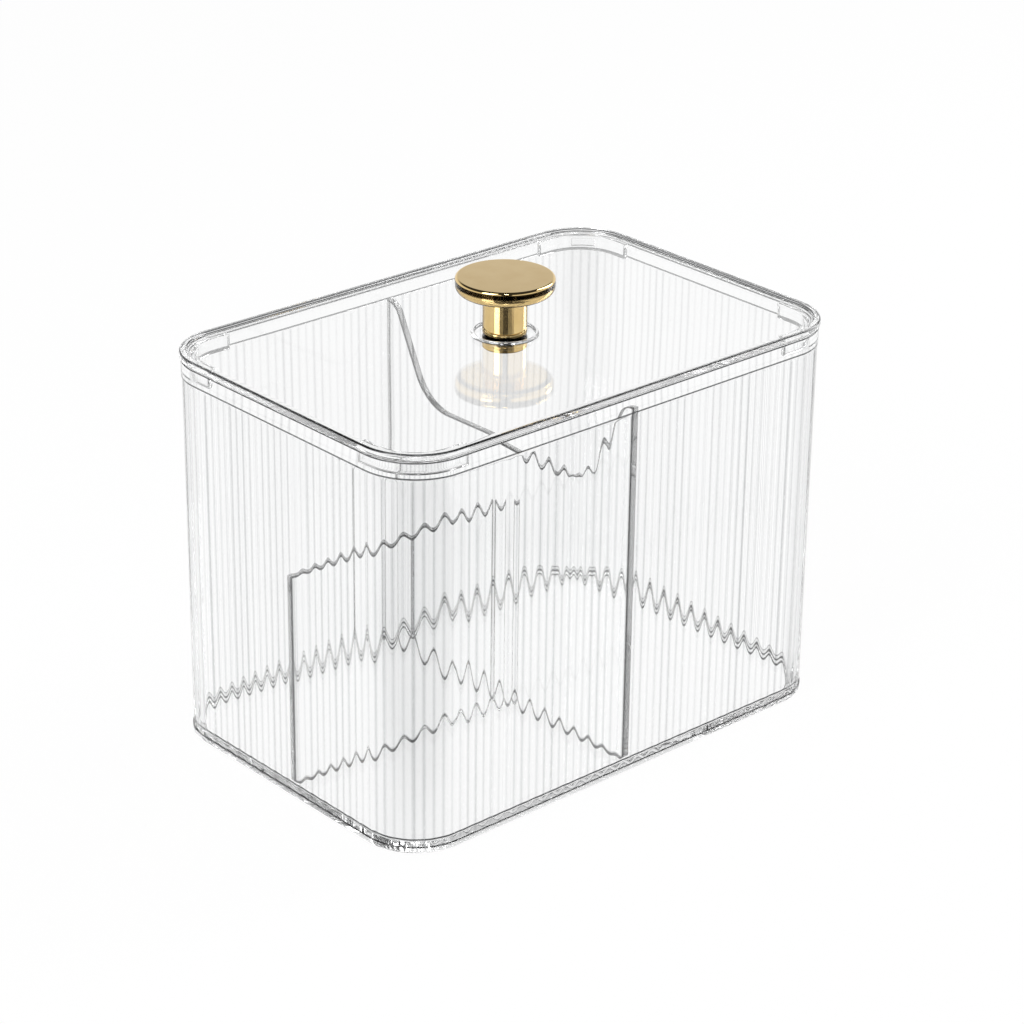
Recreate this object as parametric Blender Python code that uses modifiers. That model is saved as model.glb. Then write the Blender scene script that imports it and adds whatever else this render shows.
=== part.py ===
# Fluted clear makeup organizer: a box with three compartments and a lift-off lid with a gold knob.
# Metres, +Z up, long side along X. The origin is the middle of the base, on the surface it stands on.

import math

import bmesh
import bpy
from mathutils import Matrix, Vector

# Driving dimensions of the lid
LID_LENGTH = 0.1800
LID_WIDTH = 0.1210
LID_PLATE = 0.0025
LID_EDGE_RADIUS = 0.0008
LID_RIM_WIDTH = 0.0026
LID_RECESS = 0.0008
LID_RIM_SLOPE = 0.0006
LID_OVERHANG = 0.0004
LUG_HEIGHT = 0.0051
LUG_THICKNESS = 0.0016
LUG_RUN = 0.0055
PAD_WIDTH = 0.0083
PAD_HEIGHT = 0.0026
PAD_PROUD = 0.0003
COLLAR_CLEARANCE = 0.0023
COLLAR_BEAD = 0.0014
COLLAR_HEIGHT = 0.0009

# Driving dimensions of the box
BOX_HEIGHT = 0.1278
CORNER_RADIUS = 0.0190
WALL = 0.0026
FLOOR = 0.0026
RIM_HEIGHT = 0.0022
RIM_RADIUS = 0.0007
BAND_HEIGHT = 0.0053
CAVITY_FILLET = 0.0015
FLUTE_PITCH = 0.0061
FLUTE_DEPTH = 0.00020
FLUTE_LAND = 0.0002

# Driving dimensions of the dividers
DIVIDER_THICKNESS = 0.0024
TALL_DIVIDER_OFFSET = 0.0008
TALL_DIVIDER_DROP = 0.0045
SCOOP_DEPTH = 0.0315
SCOOP_TOP_RADIUS = 0.0060
SCOOP_VALLEY_RADIUS = 0.0170
SCOOP_WALL_FLAT = 0.0006
SCOOP_SLOPE_DEGREES = 64.0
LOW_DIVIDER_OFFSET = -0.0026
LOW_DIVIDER_DROP = 0.0533

# Driving dimensions of the knob and what fastens it
KNOB_RADIUS = 0.0156
KNOB_HEIGHT = 0.0186
KNOB_DISC = 0.0055
KNOB_TOP_RADIUS = 0.0009
KNOB_UNDER_RADIUS = 0.0028
KNOB_UNDER_SLOPE = 0.0004
NECK_RADIUS = 0.0070
NECK_FILLET = 0.0006
NECK_CHAMFER = 0.0004
FERRULE_RADIUS = 0.0071
FERRULE_HEIGHT = 0.0034
FERRULE_CHAMFER = 0.0005
SCREW_RADIUS = 0.0020
SCREW_GRIP = 0.0070
SCREW_TIP = 0.0006
SCREW_HEAD_RADIUS = 0.0036
SCREW_HEAD_HEIGHT = 0.0018
SCREW_HEAD_ROUND = 0.0005
DRIVE_LENGTH = 0.0036
DRIVE_WIDTH = 0.0009
DRIVE_DEPTH = 0.0011

# Clearance between touching pieces, overrun of every cut and depth to which joined shapes sink in
GAP = 0.0003
OVERRUN = 0.0020
SINK = 0.0002
WELD_DISTANCE = 0.000001

# How finely curves are drawn
CORNER_SEGMENTS = 8
TURN_STEPS = 40
FLUTE_SEGMENTS = 6
ARC_SEGMENTS = 6
EDGE_SEGMENTS = 3
BEVEL_SEGMENTS = 2
LEVEL_SHARE = 0.01
FLAT_DEGREES = 0.05

# Sizes that follow from the driving dimensions
BOX_LENGTH = LID_LENGTH - 2 * LID_OVERHANG
BOX_WIDTH = LID_WIDTH - 2 * LID_OVERHANG
INNER_LENGTH = BOX_LENGTH - 2 * WALL
INNER_WIDTH = BOX_WIDTH - 2 * WALL
INNER_RADIUS = CORNER_RADIUS - WALL
BAND_BOTTOM = BOX_HEIGHT - BAND_HEIGHT
TALL_DIVIDER_TOP = BOX_HEIGHT - TALL_DIVIDER_DROP
SCOOP_VALLEY = TALL_DIVIDER_TOP - SCOOP_DEPTH
LOW_DIVIDER_TOP = BOX_HEIGHT - LOW_DIVIDER_DROP
LID_BOTTOM = BOX_HEIGHT + GAP
LID_TOP = LID_BOTTOM + LID_PLATE
PANEL_TOP = LID_TOP - LID_RECESS
LUG_REACH = WALL + GAP + PAD_PROUD
LUG_RADIUS = CORNER_RADIUS - LUG_REACH
LUG_BOTTOM = LID_BOTTOM - LUG_HEIGHT
COLLAR_RADIUS = NECK_RADIUS + COLLAR_CLEARANCE + COLLAR_BEAD / 2
KNOB_BOTTOM = PANEL_TOP + GAP
KNOB_TOP = KNOB_BOTTOM + KNOB_HEIGHT
FERRULE_TOP = LID_BOTTOM - GAP
FERRULE_BOTTOM = FERRULE_TOP - FERRULE_HEIGHT
COUNTERBORE_TOP = FERRULE_BOTTOM + SCREW_HEAD_HEIGHT + GAP
BORE_RADIUS = SCREW_RADIUS + GAP
COUNTERBORE_RADIUS = SCREW_HEAD_RADIUS + GAP
SCREW_TOP = KNOB_BOTTOM + SCREW_GRIP


def clear_scene():
    for thing in list(bpy.data.objects):
        bpy.data.objects.remove(thing, do_unlink=True)


def new_collection(name):
    collection = bpy.data.collections.new(name)
    bpy.context.scene.collection.children.link(collection)
    return collection


def material(name, colour, roughness, metallic=0.0, transmission=0.0):
    made = bpy.data.materials.new(name)
    made.use_nodes = True
    shader = made.node_tree.nodes["Principled BSDF"]
    shader.inputs["Base Color"].default_value = (*colour, 1.0)
    shader.inputs["Roughness"].default_value = roughness
    shader.inputs["Metallic"].default_value = metallic
    shader.inputs["Transmission Weight"].default_value = transmission
    return made


def mark_cutter(thing):
    thing.hide_render = True
    thing.display_type = "WIRE"
    return thing


def finish(thing, finish_material, smooth_degrees=30.0):
    thing.data.materials.clear()
    thing.data.materials.append(finish_material)
    thing.data.shade_smooth()
    thing.data.set_sharp_from_angle(angle=math.radians(smooth_degrees))
    return thing


# Outlines

def arc(centre_x, centre_y, radius, start, end, segments):
    """Points on an arc from start to end, both in radians and both included."""
    points = []
    for step in range(segments + 1):
        angle = start + (end - start) * step / segments
        points.append((centre_x + radius * math.cos(angle), centre_y + radius * math.sin(angle)))
    return points


def rounded_rectangle(length, width, radius, segments=CORNER_SEGMENTS):
    """Counterclockwise outline about the origin."""
    half_x = length / 2 - radius
    half_y = width / 2 - radius
    quarter = math.pi / 2
    points = []
    for turn, (sign_x, sign_y) in enumerate(((1, 1), (-1, 1), (-1, -1), (1, -1))):
        start = quarter * turn
        points += arc(sign_x * half_x, sign_y * half_y, radius, start, start + quarter, segments)
    return points


def point_along(length, width, radius, distance):
    """Point and outward normal on a rounded rectangle, from the middle of its +X side, counterclockwise."""
    side_x = length - 2 * radius
    side_y = width - 2 * radius
    bend = radius * math.pi / 2
    spans = (side_y / 2, bend, side_x, bend, side_y, bend, side_x, bend, side_y / 2)
    place = Vector((length / 2, 0))
    heading = Vector((0, 1))
    for index, span in enumerate(spans):
        part = min(distance, span)
        outward = Vector((heading.y, -heading.x))
        if index % 2:
            centre = place - outward * radius
            turned = Matrix.Rotation(part / radius, 2)
            outward = turned @ outward
            heading = turned @ heading
            place = centre + outward * radius
        else:
            place = place + heading * part
        distance -= part
        if distance <= 0:
            break
    return place, outward


def fluted_outlines():
    """Outline of the wall's fluted outer face, and one with as many points that runs outside the box."""
    length = BOX_LENGTH - 2 * FLUTE_LAND
    width = BOX_WIDTH - 2 * FLUTE_LAND
    radius = CORNER_RADIUS - FLUTE_LAND
    perimeter = 2 * (length + width - 4 * radius) + 2 * math.pi * radius
    flutes = 4 * round(perimeter / FLUTE_PITCH / 4)
    samples = flutes * FLUTE_SEGMENTS
    fluted = []
    beyond = []
    for sample in range(samples):
        place, outward = point_along(length, width, radius, perimeter * sample / samples)
        share = (sample % FLUTE_SEGMENTS) / FLUTE_SEGMENTS
        fluted.append(place - outward * FLUTE_DEPTH * math.sin(math.pi * share))
        beyond.append(place + outward * OVERRUN)
    return fluted, beyond


# Solids

def mesh_from_curve(curve_object, collection):
    """Turn a filled curve into a closed mesh object under the same name."""
    bpy.context.view_layer.update()
    evaluated = curve_object.evaluated_get(bpy.context.evaluated_depsgraph_get())
    mesh = bpy.data.meshes.new_from_object(evaluated)
    matrix = curve_object.matrix_world.copy()
    name = curve_object.name
    bpy.data.objects.remove(curve_object, do_unlink=True)
    work = bmesh.new()
    work.from_mesh(mesh)
    bmesh.ops.remove_doubles(work, verts=work.verts, dist=WELD_DISTANCE)
    bmesh.ops.recalc_face_normals(work, faces=work.faces)
    work.to_mesh(mesh)
    work.free()
    mesh.name = name
    solid = bpy.data.objects.new(name, mesh)
    solid.matrix_world = matrix
    collection.objects.link(solid)
    return solid


def plate(name, outlines, bottom, top, collection, matrix=None):
    """Flat solid from closed outlines, an inner outline being a hole, between two heights."""
    curve = bpy.data.curves.new(name, "CURVE")
    curve.dimensions = "2D"
    curve.fill_mode = "BOTH"
    curve.extrude = (top - bottom) / 2
    for outline in outlines:
        spline = curve.splines.new("POLY")
        spline.points.add(len(outline) - 1)
        for point, (x, y) in zip(spline.points, outline):
            point.co = (x, y, 0, 1)
        spline.use_cyclic_u = True
    flat = bpy.data.objects.new(name, curve)
    flat.matrix_world = (matrix or Matrix()) @ Matrix.Translation((0, 0, (bottom + top) / 2))
    collection.objects.link(flat)
    return mesh_from_curve(flat, collection)


def place_in_mesh(thing):
    thing.data.transform(thing.matrix_world)
    thing.matrix_world = Matrix()
    return thing


def round_level_edges(thing, level, width, segments=BEVEL_SEGMENTS):
    """Round the edges of the outline that lies at one height of a plate whose place is in its mesh."""
    work = bmesh.new()
    work.from_mesh(thing.data)
    flat = math.radians(FLAT_DEGREES)
    bmesh.ops.dissolve_limit(work, angle_limit=flat, verts=work.verts, edges=work.edges)
    nearly = width * LEVEL_SHARE
    edges = [e for e in work.edges if all(abs(v.co.z - level) < nearly for v in e.verts)]
    bmesh.ops.bevel(work, geom=edges, offset=width, segments=segments, profile=0.5, affect="EDGES")
    work.to_mesh(thing.data)
    work.free()
    return thing


def block(name, low, high, collection):
    """Box between two opposite corners."""
    work = bmesh.new()
    bmesh.ops.create_cube(work, size=1.0)
    size = Vector(high) - Vector(low)
    middle = (Vector(high) + Vector(low)) / 2
    bmesh.ops.scale(work, vec=size, verts=work.verts)
    bmesh.ops.translate(work, vec=middle, verts=work.verts)
    mesh = bpy.data.meshes.new(name)
    work.to_mesh(mesh)
    work.free()
    thing = bpy.data.objects.new(name, mesh)
    collection.objects.link(thing)
    return thing


def ring(name, outlines, bottom, top, collection):
    """Solid between two outlines with equally many points, one inside the other."""
    work = bmesh.new()
    for outline in outlines:
        corners = [work.verts.new((x, y, bottom)) for x, y in outline]
        for corner, following in zip(corners, corners[1:] + corners[:1]):
            work.edges.new((corner, following))
    bmesh.ops.bridge_loops(work, edges=work.edges)
    raised = bmesh.ops.extrude_face_region(work, geom=work.faces[:] + work.edges[:] + work.verts[:])
    lifted = [item for item in raised["geom"] if isinstance(item, bmesh.types.BMVert)]
    bmesh.ops.translate(work, vec=(0, 0, top - bottom), verts=lifted)
    bmesh.ops.recalc_face_normals(work, faces=work.faces)
    mesh = bpy.data.meshes.new(name)
    work.to_mesh(mesh)
    work.free()
    thing = bpy.data.objects.new(name, mesh)
    collection.objects.link(thing)
    return thing


def turned(name, profile, collection, closed=False):
    """Solid of revolution about Z; the profile's (radius, height) points run down its outer side."""
    mesh = bpy.data.meshes.new(name)
    vertices = [(radius, 0, height) for radius, height in profile]
    edges = [(index, index + 1) for index in range(len(vertices) - 1)]
    if closed:
        edges.append((len(vertices) - 1, 0))
    mesh.from_pydata(vertices, edges, [])
    thing = bpy.data.objects.new(name, mesh)
    collection.objects.link(thing)
    screw = thing.modifiers.new("turn", "SCREW")
    screw.axis = "Z"
    screw.steps = TURN_STEPS
    screw.render_steps = TURN_STEPS
    screw.use_merge_vertices = True
    screw.merge_threshold = WELD_DISTANCE
    return thing


def combine(thing, other, operation):
    boolean = thing.modifiers.new(other.name, "BOOLEAN")
    boolean.object = other
    boolean.operation = operation
    boolean.solver = "EXACT"
    if operation == "DIFFERENCE":
        mark_cutter(other)
    return thing


def join_in(thing, other):
    """Union with a helper solid, which then counts as a cutter."""
    combine(thing, other, "UNION")
    mark_cutter(other)
    return thing


# The box: one clear moulding, fluted outside between a base rim and a plain band

def make_box(parts, cutters, clear):
    outline = rounded_rectangle(BOX_LENGTH, BOX_WIDTH, CORNER_RADIUS)
    box = place_in_mesh(plate("box", [outline], 0, BOX_HEIGHT, parts))
    round_level_edges(box, 0, RIM_RADIUS)

    combine(box, ring("flute_cutter", fluted_outlines(), RIM_HEIGHT, BAND_BOTTOM, cutters), "DIFFERENCE")

    inner = rounded_rectangle(INNER_LENGTH, INNER_WIDTH, INNER_RADIUS)
    cavity = place_in_mesh(plate("cavity_cutter", [inner], FLOOR, BOX_HEIGHT + OVERRUN, cutters))
    round_level_edges(cavity, FLOOR, CAVITY_FILLET)
    combine(box, cavity, "DIFFERENCE")
    return finish(box, clear)


# The dividers: flat clear plates that stand on the floor between the walls

def scoop_side():
    """Top edge of the tall divider from the middle to its +Y end, as (along Y, height) points."""
    slope = math.radians(SCOOP_SLOPE_DEGREES)
    curved = (SCOOP_TOP_RADIUS + SCOOP_VALLEY_RADIUS) * (1 - math.cos(slope))
    straight = (SCOOP_DEPTH - curved) / math.tan(slope)
    top_start = INNER_WIDTH / 2 - GAP - SCOOP_WALL_FLAT
    valley_end = top_start - straight - (SCOOP_TOP_RADIUS + SCOOP_VALLEY_RADIUS) * math.sin(slope)
    quarter = math.pi / 2
    valley = arc(
        valley_end,
        SCOOP_VALLEY + SCOOP_VALLEY_RADIUS,
        SCOOP_VALLEY_RADIUS,
        -quarter,
        -quarter + slope,
        ARC_SEGMENTS,
    )
    crest = arc(
        top_start,
        TALL_DIVIDER_TOP - SCOOP_TOP_RADIUS,
        SCOOP_TOP_RADIUS,
        quarter + slope,
        quarter,
        ARC_SEGMENTS,
    )
    return valley + crest


def make_tall_divider(parts, clear):
    end = INNER_WIDTH / 2 - GAP
    foot = FLOOR + GAP
    side = scoop_side() + [(end, TALL_DIVIDER_TOP), (end, foot + CAVITY_FILLET)]
    side.append((end - CAVITY_FILLET, foot))
    outline = side + [(-y, z) for y, z in reversed(side)]
    upright = Matrix(((0, 0, 1, 0), (1, 0, 0, 0), (0, 1, 0, 0), (0, 0, 0, 1)))
    middle = Matrix.Translation((TALL_DIVIDER_OFFSET, 0, 0))
    half = DIVIDER_THICKNESS / 2
    divider = plate("tall_divider", [outline], -half, half, parts, middle @ upright)
    return finish(divider, clear)


def make_low_divider(parts, clear):
    start = -INNER_LENGTH / 2 + GAP
    end = TALL_DIVIDER_OFFSET - DIVIDER_THICKNESS / 2 - GAP
    foot = FLOOR + GAP
    outline = [
        (start, foot + CAVITY_FILLET),
        (start + CAVITY_FILLET, foot),
        (end, foot),
        (end, LOW_DIVIDER_TOP),
        (start, LOW_DIVIDER_TOP),
    ]
    upright = Matrix(((1, 0, 0, 0), (0, 0, -1, 0), (0, 1, 0, 0), (0, 0, 0, 1)))
    middle = Matrix.Translation((0, LOW_DIVIDER_OFFSET, 0))
    half = DIVIDER_THICKNESS / 2
    divider = plate("low_divider", [outline], -half, half, parts, middle @ upright)
    return finish(divider, clear)


# The lid: one clear moulding with a raised rim, a collar round the knob and four corner lugs

def make_lug_solids(cutters):
    """Ring that drops inside the box walls, cut away along the sides so that four corners stay."""
    length = BOX_LENGTH - 2 * LUG_REACH
    width = BOX_WIDTH - 2 * LUG_REACH
    outer = rounded_rectangle(length, width, LUG_RADIUS)
    length -= 2 * LUG_THICKNESS
    width -= 2 * LUG_THICKNESS
    inner = rounded_rectangle(length, width, LUG_RADIUS - LUG_THICKNESS)
    lugs = place_in_mesh(plate("lug_ring", [outer, inner], LUG_BOTTOM, LID_BOTTOM + SINK, cutters))
    keep = CORNER_RADIUS + LUG_RUN
    side_x = BOX_LENGTH / 2 - keep
    side_y = BOX_WIDTH / 2 - keep
    low = LUG_BOTTOM - OVERRUN
    high = LID_BOTTOM + OVERRUN
    long_span = block("long_span", (-side_x, -BOX_WIDTH, low), (side_x, BOX_WIDTH, high), cutters)
    short_span = block("short_span", (-BOX_LENGTH, -side_y, low), (BOX_LENGTH, side_y, high), cutters)
    combine(lugs, long_span, "DIFFERENCE")
    combine(lugs, short_span, "DIFFERENCE")
    return lugs


def make_pads(cutters):
    """Raised pads on the outside of the lugs, one in the middle of each corner."""
    spread = PAD_WIDTH / LUG_RADIUS / 2
    bottom = (LUG_BOTTOM + LID_BOTTOM - PAD_HEIGHT) / 2
    pads = []
    for turn, (sign_x, sign_y) in enumerate(((1, 1), (-1, 1), (-1, -1), (1, -1))):
        centre_x = sign_x * (BOX_LENGTH / 2 - CORNER_RADIUS)
        centre_y = sign_y * (BOX_WIDTH / 2 - CORNER_RADIUS)
        facing = math.pi / 4 + turn * math.pi / 2
        start = facing - spread
        end = facing + spread
        outer = arc(centre_x, centre_y, LUG_RADIUS + PAD_PROUD, start, end, ARC_SEGMENTS)
        inner = arc(centre_x, centre_y, LUG_RADIUS - SINK, end, start, ARC_SEGMENTS)
        pad = plate("lug_pad", [outer + inner], bottom, bottom + PAD_HEIGHT, cutters)
        pads.append(place_in_mesh(pad))
    return pads


def make_lid(parts, cutters, clear):
    radius = CORNER_RADIUS + LID_OVERHANG
    outline = rounded_rectangle(LID_LENGTH, LID_WIDTH, radius)
    lid = place_in_mesh(plate("lid", [outline], LID_BOTTOM, LID_TOP, parts))
    round_level_edges(lid, LID_TOP, LID_EDGE_RADIUS)
    round_level_edges(lid, LID_BOTTOM, LID_EDGE_RADIUS)

    panel = rounded_rectangle(
        LID_LENGTH - 2 * LID_RIM_WIDTH, LID_WIDTH - 2 * LID_RIM_WIDTH, radius - LID_RIM_WIDTH
    )
    recess = place_in_mesh(plate("recess_cutter", [panel], PANEL_TOP, LID_TOP + OVERRUN, cutters))
    round_level_edges(recess, PANEL_TOP, LID_RIM_SLOPE, segments=1)
    combine(lid, recess, "DIFFERENCE")

    join_in(lid, make_lug_solids(cutters))
    for pad in make_pads(cutters):
        join_in(lid, pad)

    half_bead = COLLAR_BEAD / 2
    bead = [(COLLAR_RADIUS - half_bead, PANEL_TOP - SINK)]
    for step in range(ARC_SEGMENTS + 1):
        angle = math.pi * (1 - step / ARC_SEGMENTS)
        across = COLLAR_RADIUS + half_bead * math.cos(angle)
        bead.append((across, PANEL_TOP + COLLAR_HEIGHT * math.sin(angle)))
    bead.append((COLLAR_RADIUS + half_bead, PANEL_TOP - SINK))
    join_in(lid, turned("collar", bead, cutters, closed=True))

    bore = [
        (0, LID_TOP + OVERRUN),
        (BORE_RADIUS, LID_TOP + OVERRUN),
        (BORE_RADIUS, LID_BOTTOM - OVERRUN),
        (0, LID_BOTTOM - OVERRUN),
    ]
    combine(lid, turned("lid_bore", bore, cutters), "DIFFERENCE")
    return finish(lid, clear)


# The knob: one turned and plated piece, a shallow disc on a round neck

def make_knob(parts, cutters, gold):
    quarter = math.pi / 2
    under = KNOB_TOP - KNOB_DISC
    centre_x = KNOB_RADIUS - KNOB_TOP_RADIUS
    centre_z = KNOB_TOP - KNOB_TOP_RADIUS
    profile = [(0, KNOB_TOP)]
    profile += arc(centre_x, centre_z, KNOB_TOP_RADIUS, quarter, 0, EDGE_SEGMENTS)
    centre_x = KNOB_RADIUS - KNOB_UNDER_RADIUS
    centre_z = under + KNOB_UNDER_RADIUS
    profile += arc(centre_x, centre_z, KNOB_UNDER_RADIUS, 0, -quarter, ARC_SEGMENTS)
    profile.append((NECK_RADIUS + NECK_FILLET, under - KNOB_UNDER_SLOPE))
    profile.append((NECK_RADIUS, under - KNOB_UNDER_SLOPE - NECK_FILLET))
    profile.append((NECK_RADIUS, KNOB_BOTTOM + NECK_CHAMFER))
    profile.append((NECK_RADIUS - NECK_CHAMFER, KNOB_BOTTOM))
    profile.append((0, KNOB_BOTTOM))
    knob = turned("knob", profile, parts)
    bore = [
        (0, SCREW_TOP + GAP),
        (BORE_RADIUS, SCREW_TOP + GAP),
        (BORE_RADIUS, KNOB_BOTTOM - OVERRUN),
        (0, KNOB_BOTTOM - OVERRUN),
    ]
    combine(knob, turned("knob_bore", bore, cutters), "DIFFERENCE")
    return finish(knob, gold)


# The ferrule: a plated ring under the lid, counterbored for the screw head

def make_ferrule(parts, gold):
    profile = [
        (BORE_RADIUS, FERRULE_TOP),
        (FERRULE_RADIUS, FERRULE_TOP),
        (FERRULE_RADIUS, FERRULE_BOTTOM + FERRULE_CHAMFER),
        (FERRULE_RADIUS - FERRULE_CHAMFER, FERRULE_BOTTOM),
        (COUNTERBORE_RADIUS, FERRULE_BOTTOM),
        (COUNTERBORE_RADIUS, COUNTERBORE_TOP),
        (BORE_RADIUS, COUNTERBORE_TOP),
    ]
    return finish(turned("ferrule", profile, parts, closed=True), gold)


# The screw: it clamps the ferrule, the lid and the knob together from below

def make_screw(parts, cutters, steel):
    head_top = COUNTERBORE_TOP - GAP
    head_bottom = head_top - SCREW_HEAD_HEIGHT
    profile = [
        (0, SCREW_TOP),
        (SCREW_RADIUS - SCREW_TIP, SCREW_TOP),
        (SCREW_RADIUS, SCREW_TOP - SCREW_TIP),
        (SCREW_RADIUS, head_top),
        (SCREW_HEAD_RADIUS, head_top),
        (SCREW_HEAD_RADIUS, head_bottom + SCREW_HEAD_ROUND),
        (SCREW_HEAD_RADIUS - SCREW_HEAD_ROUND, head_bottom),
        (0, head_bottom),
    ]
    screw = turned("knob_screw", profile, parts)
    low = head_bottom - OVERRUN
    high = head_bottom + DRIVE_DEPTH
    half_length = DRIVE_LENGTH / 2
    half_width = DRIVE_WIDTH / 2
    slot_x = block("drive_x", (-half_length, -half_width, low), (half_length, half_width, high), cutters)
    slot_y = block("drive_y", (-half_width, -half_length, low), (half_width, half_length, high), cutters)
    combine(screw, slot_x, "DIFFERENCE")
    combine(screw, slot_y, "DIFFERENCE")
    return finish(screw, steel)


def build():
    clear_scene()
    parts = new_collection("makeup_organizer")
    cutters = new_collection("cutters")
    clear_colour = (0.93, 0.94, 0.95)
    gold_colour = (0.83, 0.62, 0.30)
    steel_colour = (0.62, 0.62, 0.63)
    make_box(parts, cutters, material("clear_box", clear_colour, 0.04, transmission=1.0))
    make_tall_divider(parts, material("clear_tall_divider", clear_colour, 0.04, transmission=1.0))
    make_low_divider(parts, material("clear_low_divider", clear_colour, 0.04, transmission=1.0))
    make_lid(parts, cutters, material("clear_lid", clear_colour, 0.04, transmission=1.0))
    make_knob(parts, cutters, material("polished_gold", gold_colour, 0.08, metallic=1.0))
    make_ferrule(parts, material("gold_ferrule", gold_colour, 0.15, metallic=1.0))
    make_screw(parts, cutters, material("screw_steel", steel_colour, 0.30, metallic=1.0))


build()
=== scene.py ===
import math

import bmesh
import bpy
from mathutils import Matrix, Vector


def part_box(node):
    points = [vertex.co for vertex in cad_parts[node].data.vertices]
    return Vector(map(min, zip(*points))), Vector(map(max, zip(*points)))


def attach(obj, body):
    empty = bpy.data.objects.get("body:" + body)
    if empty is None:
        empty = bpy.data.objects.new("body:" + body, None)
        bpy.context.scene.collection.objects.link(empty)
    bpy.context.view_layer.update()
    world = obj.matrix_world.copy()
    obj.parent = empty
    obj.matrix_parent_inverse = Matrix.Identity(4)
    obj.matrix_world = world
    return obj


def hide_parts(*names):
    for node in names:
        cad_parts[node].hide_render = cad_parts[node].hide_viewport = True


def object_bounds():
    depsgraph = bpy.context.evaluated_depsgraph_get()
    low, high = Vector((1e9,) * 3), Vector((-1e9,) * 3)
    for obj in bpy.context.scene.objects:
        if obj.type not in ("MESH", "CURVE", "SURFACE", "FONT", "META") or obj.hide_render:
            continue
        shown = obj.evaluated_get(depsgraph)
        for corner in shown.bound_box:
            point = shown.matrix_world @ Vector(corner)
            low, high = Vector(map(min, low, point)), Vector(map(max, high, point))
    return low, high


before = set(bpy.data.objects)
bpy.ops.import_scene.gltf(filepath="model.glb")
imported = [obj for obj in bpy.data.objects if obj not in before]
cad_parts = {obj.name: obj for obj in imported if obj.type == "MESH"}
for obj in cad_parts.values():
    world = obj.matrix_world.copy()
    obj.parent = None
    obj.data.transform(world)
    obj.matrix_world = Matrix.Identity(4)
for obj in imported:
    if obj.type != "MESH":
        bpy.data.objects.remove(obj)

cad_low, cad_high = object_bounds()
MM = 0.001


# White table top and studio light
# A sheet of white paper lies under the organizer. Its white shows through the clear plastic, while
# the dark ceiling draws every edge that turns the light upwards, and a black card that stands
# towards the camera draws the dark stripes in the gold.

TABLE_SIZE = 12.0
TABLE_DROP = 0.1 * MM
TABLE_WHITE = (0.94, 0.94, 0.94, 1.0)
TABLE_GLOW = 0.97
CARD_TURN = math.radians(-128.0)
CARD_START = 0.10
CARD_HALF_WIDTH = 0.24
CARD_FADE = 0.06
HORIZON_SINE = 0.30
CEILING_SINE = 0.60
SHADE_LOW_SINE = 0.45
SHADE_HIGH_SINE = 0.70
FULL_WHITE = (1.0, 1.0, 1.0, 1.0)
CEILING_LIGHT = (0.04, 0.04, 0.042, 1.0)
LIGHT_BOUNCES = 64
LEFT_TURN = math.radians(188)
LEFT_RISE = math.radians(38)
RIGHT_TURN = math.radians(-8)
RIGHT_RISE = math.radians(34)
FRONT_RISE = math.radians(52)


def new_nodes(owner):
    """The empty node tree of a material or world."""
    owner.use_nodes = True
    owner.node_tree.nodes.clear()
    return owner.node_tree


def node(tree, kind, **settings):
    """A new node with its own settings."""
    made = tree.nodes.new(kind)
    for name, value in settings.items():
        setattr(made, name, value)
    return made


def seen_directly_or_through(tree):
    """1 where a ray comes from the camera, or off or through a shiny surface."""
    path = node(tree, "ShaderNodeLightPath")
    first = node(tree, "ShaderNodeMath", operation="MAXIMUM")
    second = node(tree, "ShaderNodeMath", operation="MAXIMUM")
    tree.links.new(path.outputs["Is Camera Ray"], first.inputs[0])
    tree.links.new(path.outputs["Is Glossy Ray"], first.inputs[1])
    tree.links.new(first.outputs[0], second.inputs[0])
    tree.links.new(path.outputs["Is Transmission Ray"], second.inputs[1])
    return second.outputs[0]


def black_card(tree, coordinates):
    """1 where the card stands: a strip from near the box towards the long lens, for reflections only."""
    place = node(tree, "ShaderNodeTexCoord")
    turned = node(tree, "ShaderNodeMapping", vector_type="TEXTURE")
    turned.inputs["Rotation"].default_value = (0.0, 0.0, CARD_TURN)
    parts = node(tree, "ShaderNodeSeparateXYZ")
    aside = node(tree, "ShaderNodeMath", operation="ABSOLUTE")
    across = node(tree, "ShaderNodeMapRange", interpolation_type="SMOOTHSTEP")
    across.inputs["From Min"].default_value = CARD_HALF_WIDTH
    across.inputs["From Max"].default_value = CARD_HALF_WIDTH - CARD_FADE
    along = node(tree, "ShaderNodeMapRange", interpolation_type="SMOOTHSTEP")
    along.inputs["From Min"].default_value = CARD_START
    along.inputs["From Max"].default_value = CARD_START + CARD_FADE
    path = node(tree, "ShaderNodeLightPath")
    mirrored = node(tree, "ShaderNodeMath", operation="MINIMUM")
    mirrored.inputs[1].default_value = 1.0
    strip = node(tree, "ShaderNodeMath", operation="MULTIPLY")
    card = node(tree, "ShaderNodeMath", operation="MULTIPLY")
    tree.links.new(place.outputs[coordinates], turned.inputs["Vector"])
    tree.links.new(turned.outputs[0], parts.inputs[0])
    tree.links.new(parts.outputs["Y"], aside.inputs[0])
    tree.links.new(aside.outputs[0], across.inputs["Value"])
    tree.links.new(parts.outputs["X"], along.inputs["Value"])
    tree.links.new(across.outputs[0], strip.inputs[0])
    tree.links.new(along.outputs[0], strip.inputs[1])
    tree.links.new(path.outputs["Glossy Depth"], mirrored.inputs[0])
    tree.links.new(strip.outputs[0], card.inputs[0])
    tree.links.new(mirrored.outputs[0], card.inputs[1])
    return card.outputs[0]


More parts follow.
